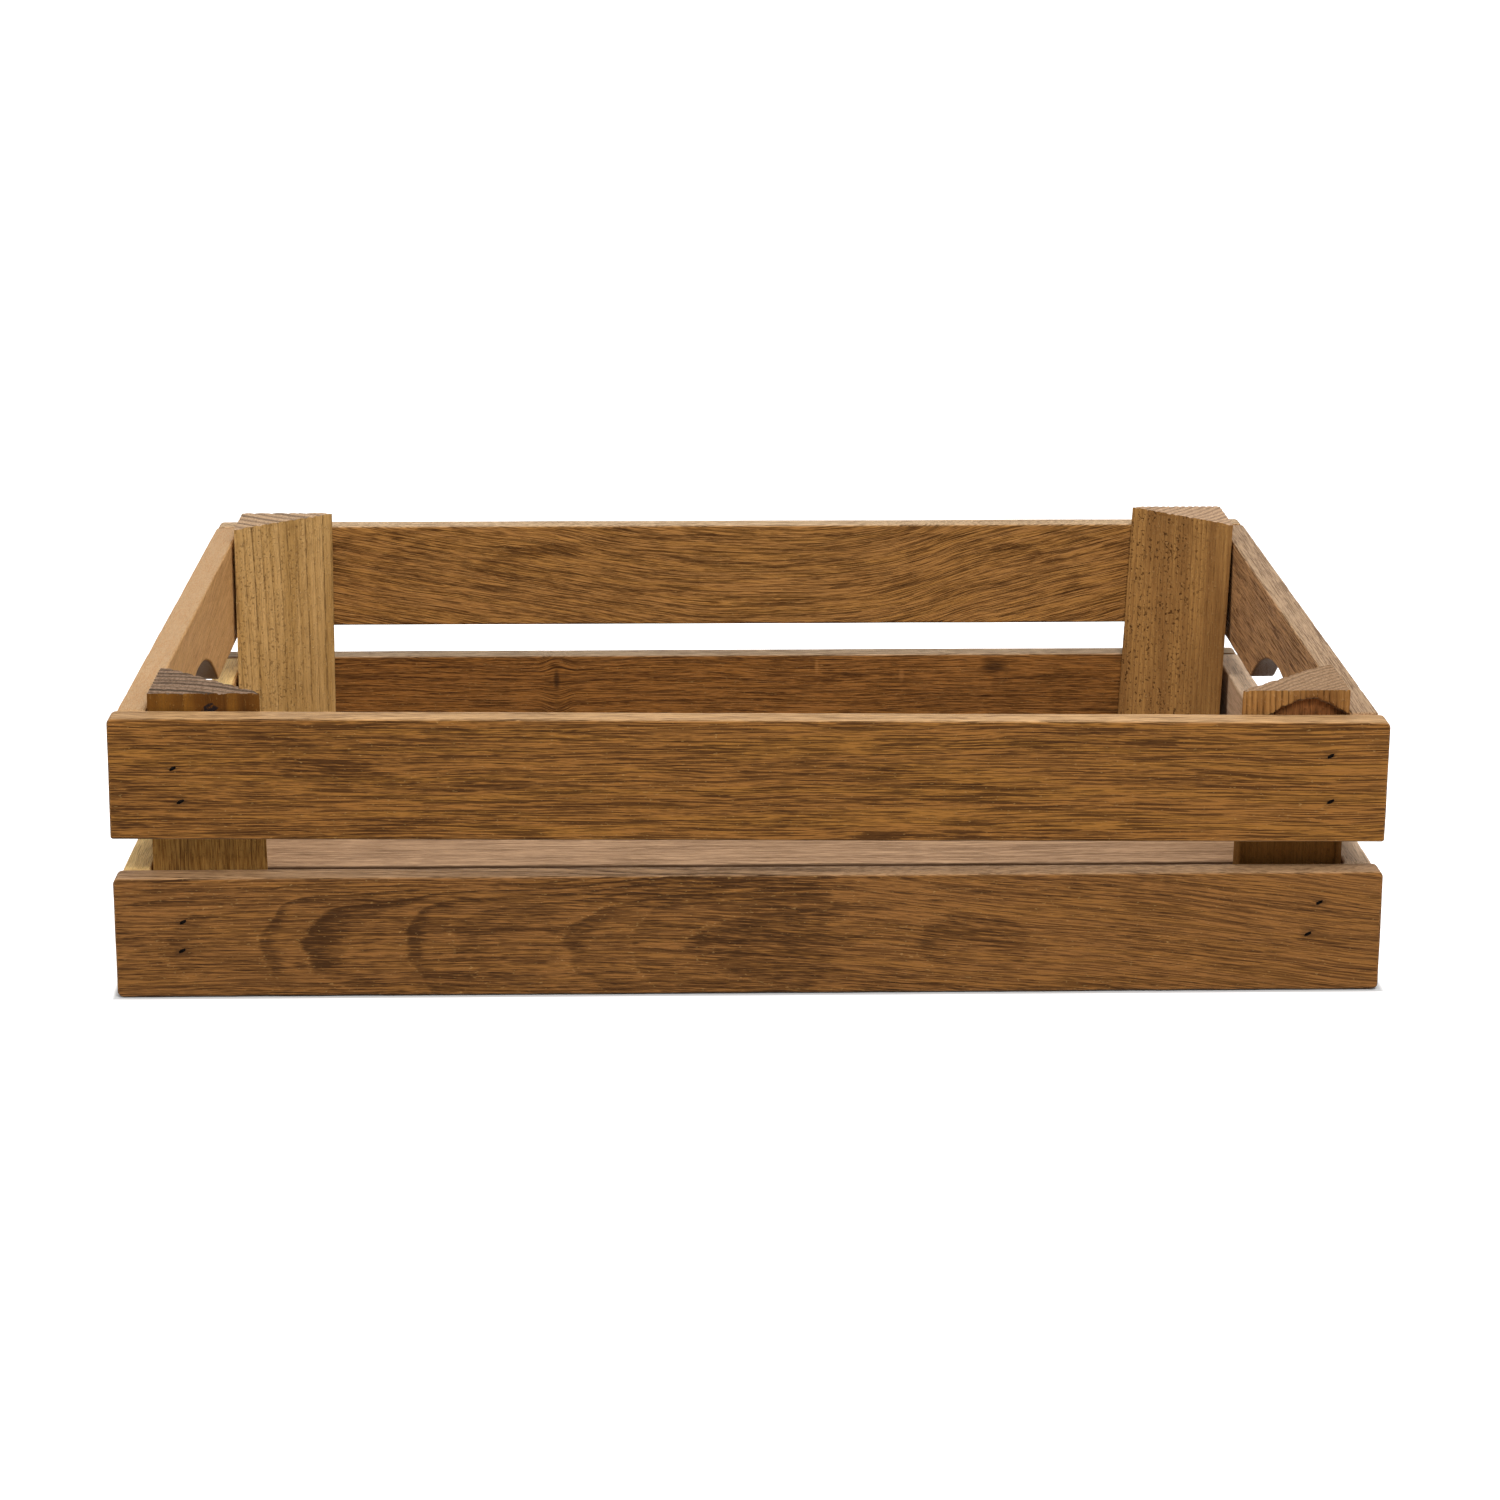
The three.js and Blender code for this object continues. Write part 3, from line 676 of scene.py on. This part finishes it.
# Each board has its own look. The front lower one is cut across the rings, so that they show as large
# arches, and the back lower one has knots and pale marks.
slats = {
    "front_lower_slat": dict(
        seed=1, pale=(137, 91, 45), gold=(142, 95, 41), deep=(65, 38, 10), edge=(188, 150, 111),
        ring=4.0, bold=4, pores=0.6,
        depth=[(-200, 73), (-185, 71), (-154, 67), (-141, 63), (-109, 59), (-94, 55), (-60, 51),
               (-38, 47), (-20, 43), (51, 39), (69, 37.5), (90, 39), (130, 43), (200, 49)],
        height=[(-200, -3.7), (60, -3.7), (200, -9)],
        figure=[(-200, 0.85), (25, 0.85), (45, 0.6), (95, 0.5), (200, 0.4)],
        # A darker heart patch in the middle of the board, and painted light lighter toward the right end.
        tone_and_painted_light=[(-200, 0), (-150, 0), (-132, 0.1), (-45, 0.08), (-15, 0.24), (15, 0.24), (30, 0.0),
               (200, -0.22)],
        lift=[(-200, 0), (-60, 0), (0, 1.5), (60, 6), (200, 20)]),
    "front_upper_slat": dict(
        seed=2, pale=(144, 95, 43), gold=(154, 105, 40), deep=(72, 42, 10), edge=(207, 166, 118),
        ring=2.6, figure=0.4, wander=0.8, pores=0.8,
        depth=24, height=[(-200, 66), (-120, 70), (0, 70), (200, 74)],
        # Painted light: lighter toward the right end, where more light falls.
        tone_and_painted_light=[(-200, 0.05), (0, 0.0), (200, -0.3)]),
    "back_lower_slat": dict(
        seed=3, pale=(148, 98, 47), gold=(152, 100, 43), deep=(77, 45, 15), edge=(206, 178, 144),
        depth=-30, height=30, figure=0.8, wander=1.2,
        knots=[(68.2, 9.9, 1.4, 4.6, 0.7), (-102.8, 14.5, 6.0, 2.6, 0.75),
               (-33.3, 14.6, 0.9, 3.6, -0.45), (-66.5, 11.1, 1.3, 3.2, -0.4)]),
    "back_upper_slat": dict(
        seed=4, pale=(170, 120, 64), gold=(178, 126, 58), deep=(90, 56, 21), edge=(216, 186, 148),
        depth=[(-200, -44), (0, -34), (200, -58)], height=4, figure=0.6, wander=1.1,
        lift=[(-200, -42), (-100, -15), (-16, 0), (80, -10), (200, -34)]),
    # Its edge tone is painted light on its top, which lies in shade under the upper slat.
    "left_lower_slat": dict(
        seed=5, pale=(222, 176, 116), gold=(224, 176, 108), deep=(186, 140, 86), edge=(255, 216, 142),
        depth=30, height=50, figure=0.5, pores=0.15),
    "left_upper_slat": dict(
        seed=6, pale=(214, 166, 109), gold=(214, 166, 103), deep=(172, 124, 73), edge=(166, 136, 102),
        depth=60, height=10, figure=0.3, lift=[(-200, -24), (200, 24)], pores=0.15),
    "right_lower_slat": dict(
        seed=7, pale=(206, 174, 143), gold=(206, 174, 137), deep=(170, 138, 109), edge=(248, 214, 178),
        depth=24, height=40, figure=0.6, pores=0.2),
    "right_upper_slat": dict(
        seed=8, pale=(190, 143, 97), gold=(190, 143, 91), deep=(104, 71, 44), edge=(164, 139, 111),
        depth=14, height=60, ring=5.0, figure=1.1, wander=0.6),
}

# Each wall faces its own way, and two upper slats are out of level, in degrees. The hand hold is an arch in
# the upper end slats: half its width, and its rise.
walls = {"front": 0, "right": 90, "back": 180, "left": 270}
tilts = {"front_upper_slat": 0.45, "right_upper_slat": -0.5}
hand_hold = (55.0, 18.0)
nails = {}
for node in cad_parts:
    if "_brad_" in node:
        low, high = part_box(node)
        nails.setdefault(node.split("_brad_")[0] + "_slat", []).append((Vector(low) + Vector(high)) / 2)

# The floor slats are held by a brad in each end, driven through the lower end slats.
floor_rows = [sum(v[1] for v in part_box("floor_slat_%d" % n)) / 2 for n in range(1, 7)]
floor_height = sum(v[2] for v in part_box("floor_slat_1")) / 2
for end in ("left", "right"):
    across = nails[end + "_lower_slat"][0].x
    nails[end + "_lower_slat"] += [Vector((across, row, floor_height)) for row in floor_rows]
for node, look in slats.items():
    wall = node.split("_")[0]
    low, high = (Vector(v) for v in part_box(node))
    level_low, level_high = (Vector(v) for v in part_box(wall + "_lower_slat"))
    whole = (level_high - level_low) * TO_MM
    thickness, length = sorted(whole.xy)
    turn = Matrix.Rotation(math.radians(walls[wall]), 4, "Z")
    tilt = Matrix.Rotation(math.radians(tilts.get(node, 0.0)), 4, "Y")
    place = Matrix.Translation((low + high) / 2) @ turn @ tilt
    local = [place.inverted() @ spot * TO_MM for spot in nails[node]]
    brads = [(round(spot.x, 2), round(spot.z, 2)) for spot in local]
    arch = hand_hold if node in ("left_upper_slat", "right_upper_slat") else None
    lower_corner = KNOCKED_CORNER if node == "front_lower_slat" else PLAIN_CORNER
    skin = slat_skin(length, whole.z, thickness, brads, look["seed"], arch, lower_corner)
    slot = wall + "_oak" if wall in ("front", "back") else "end_oak"
    stand_in(node, *skin, place, planed_oak(node + "_oak", **look), slot)


# Brads: flat wire nails with a T head, bright when driven and dulled since, and their steel is painted
# nearly black as the shade in their pits. They keep their CAD shape, and those that hold the floor are
# like the ones above them.
def dull_steel_in_shade():
    material = bpy.data.materials.new("dull_brad_steel_painted_shade")
    material.use_nodes = True
    tree = material.node_tree
    _, lie = place_in_board(tree, 1)
    stain = ease(tree, clumps(tree, lie, 0.9, 0.5, 2), 0.4, 0.65)
    shader = tree.nodes["Principled BSDF"]
    # Dulled steel, darkened nearly black as painted shade of the pit.
    tree.links.new(tint(tree, stain, tone(30, 23, 19), tone(16, 10, 7)), shader.inputs["Base Color"])
    tree.links.new(calc(tree, "ADD", 0.55, times(tree, stain, 0.3)), shader.inputs["Roughness"])
    shader.inputs["Metallic"].default_value = 0.6
    shader.inputs["Specular IOR Level"].default_value = 0.2
    return material


steel = dull_steel_in_shade()
for node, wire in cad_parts.items():
    if "_brad_" in node:
        wire.data.materials.clear()
        wire.data.materials.append(steel)
for end in ("left", "right"):
    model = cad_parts[end + "_lower_brad_left_1"]
    low, high = (Vector(v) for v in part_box(model.name))
    for number, row in enumerate(floor_rows, 1):
        brad = bpy.data.objects.new("floor_brad_%s_%d" % (end, number), model.data.copy())
        bpy.context.collection.objects.link(brad)
        spot = Vector(((low.x + high.x) / 2, row, floor_height))
        brad.matrix_world = Matrix.Translation(spot - (low + high) / 2) @ model.matrix_world
        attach(brad, "root")
        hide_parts("floor_slat_%d" % number)


# Floor slats: six lengths of the same oak, paler, laid between the end slats with even gaps. The third
# is planed a little narrower at its front edge, which gets full painted shade; the others get less.
floor_looks = [
    ((162, 128, 96), (120, 90, 64)),
    ((158, 124, 92), (118, 88, 62)),
    ((176, 141, 108), (132, 101, 74)),
    ((160, 126, 94), (120, 90, 62)),
    ((164, 129, 96), (122, 91, 66)),
    ((158, 124, 92), (116, 87, 62)),
]
narrow_slat, planed_off, end_seam, front_shade, first_seed = 3, 0.0016, 0.3, 0.65, 20
between = (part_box("right_lower_slat")[0][0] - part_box("left_lower_slat")[1][0]) * TO_MM
laid = Matrix.Rotation(math.radians(-90), 4, "X")
for number, (pale, deep) in enumerate(floor_looks, 1):
    node = "floor_slat_%d" % number
    low, high = (Vector(v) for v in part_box(node))
    if number == narrow_slat:
        low.y += planed_off
    size = (high - low) * TO_MM
    seed = first_seed + number
    points, quads, layers = slat_skin(between - 2 * end_seam, size.y, size.z, [], seed)
    # All but the third get a weaker painted shade on their front edge.
    if number != narrow_slat:
        layers["under"] = [front_shade * value for value in layers["under"]]
    wood = planed_oak(
        node + "_oak", seed, pale, pale, deep, pale, depth=30 + 6 * number, height=20 - 9 * number,
        figure=0.5, pores=0.5)
    place = Matrix.Translation((low + high) / 2) @ laid
    stand_in(node, points, quads, layers, place, wood, "floor_oak")


# Studio: a plain white floor, soft lamps above, in front and at both ends, and a pale surround.
scene = bpy.context.scene
scene.view_settings.view_transform = "Standard"
far_off, just_below = 6, 0.0002
floor_corners = [(x * far_off, y * far_off, 0) for x, y in ((-1, -1), (1, -1), (1, 1), (-1, 1))]
floor_mesh = bpy.data.meshes.new("studio_floor")
floor_mesh.from_pydata(floor_corners, [], [(0, 1, 2, 3)])
floor = bpy.data.objects.new("studio_floor", floor_mesh)
floor.location.z = -just_below
scene.collection.objects.link(floor)
white = bpy.data.materials.new("studio_white")
white.use_nodes = True
paint = white.node_tree
shader = paint.nodes["Principled BSDF"]
shader.inputs["Base Color"].default_value = (0.55, 0.55, 0.55, 1)
shader.inputs["Roughness"].default_value = 0.9
shader.inputs["Emission Color"].default_value = (1, 1, 1, 1)


# Rays that see the studio itself, and not the light that it sheds.
def looking(tree):
    seen = put(tree, "LightPath").outputs
    shown = calc(tree, "MAXIMUM", seen["Is Camera Ray"], seen["Is Glossy Ray"])
    return calc(tree, "MAXIMUM", shown, seen["Is Transmission Ray"])


# The floor glows to the eye beside the crate, so that it looks white. Under the crate it has no glow.
half_footprint, near_glow, far_glow = (0.2, 0.15, 0.0), 0.84, 0.16
ground = put(paint, "TexCoord").outputs["Object"]
ground = put(paint, "VectorMath", {0: ground}, operation="ABSOLUTE").outputs[0]
beside = put(paint, "VectorMath", {0: ground, 1: half_footprint}, operation="SUBTRACT").outputs[0]
past_x, past_y, _ = put(paint, "SeparateXYZ", {0: beside}).outputs
clear = calc(paint, "MAXIMUM", past_x, past_y)
glow = times(paint, ease(paint, clear, 0.0005, 0.003), near_glow)
glow = calc(paint, "ADD", glow, times(paint, ease(paint, clear, 0.1, 0.9), far_glow))
paint.links.new(times(paint, looking(paint), glow), shader.inputs["Emission Strength"])
floor_mesh.materials.append(white)

world = bpy.data.worlds.new("studio_air")
scene.world = world
world.use_nodes = True
air = world.node_tree
air.nodes["Background"].inputs["Color"].default_value = (1, 1, 1, 1)
light_shed, more_to_the_eye = 0.42, 0.58
strength = calc(air, "ADD", times(air, looking(air), more_to_the_eye), light_shed)
air.links.new(strength, air.nodes["Background"].inputs["Strength"])


def lamp(name, place, aim, size, power):
    light = bpy.data.lights.new(name, "AREA")
    light.shape = "RECTANGLE"
    light.size, light.size_y = size
    light.energy = power
    holder = bpy.data.objects.new(name, light)
    holder.location = place
    holder.rotation_euler = (Vector(aim) - Vector(place)).to_track_quat("-Z", "Y").to_euler()
    scene.collection.objects.link(holder)


lamp("overhead_softbox", (0.1, 0.3, 2.2), (0, 0, 0), (2.4, 2.0), 22)
lamp("front_softbox", (0.3, -1.7, 2.0), (0, 0, 0.04), (1.0, 0.9), 46)
lamp("right_softbox", (1.7, -0.9, 1.2), (0, 0, 0.04), (1.2, 1.2), 7)
lamp("left_softbox", (-1.7, -0.3, 0.9), (0, 0, 0.04), (1.0, 1.0), 9)

# Camera: at the photograph's angle, from a little left of the middle and above the rim.
focal_pixels, photo_pixels, sensor = 3705.5, 1500, 36.0
eye = Vector((-0.02962, -1.26305, 0.38439))
camera = bpy.data.cameras.new("photo_camera")
camera.sensor_width = sensor
camera.lens = focal_pixels / photo_pixels * sensor
camera.clip_start = 0.01
stand = bpy.data.objects.new("photo_camera", camera)
yaw, pitch, roll = math.radians(1.508), math.radians(15.287), math.radians(0.12)
ahead = Vector((math.sin(yaw) * math.cos(pitch), math.cos(yaw) * math.cos(pitch), -math.sin(pitch)))
level = Vector((math.cos(yaw), -math.sin(yaw), 0.0))
above = level.cross(ahead)
across = level * math.cos(roll) + above * math.sin(roll)
upward = -level * math.sin(roll) + above * math.cos(roll)
stand.matrix_world = Matrix((
    (across.x, upward.x, -ahead.x, eye.x),
    (across.y, upward.y, -ahead.y, eye.y),
    (across.z, upward.z, -ahead.z, eye.z),
    (0, 0, 0, 1),
))
scene.collection.objects.link(stand)
scene.camera = stand
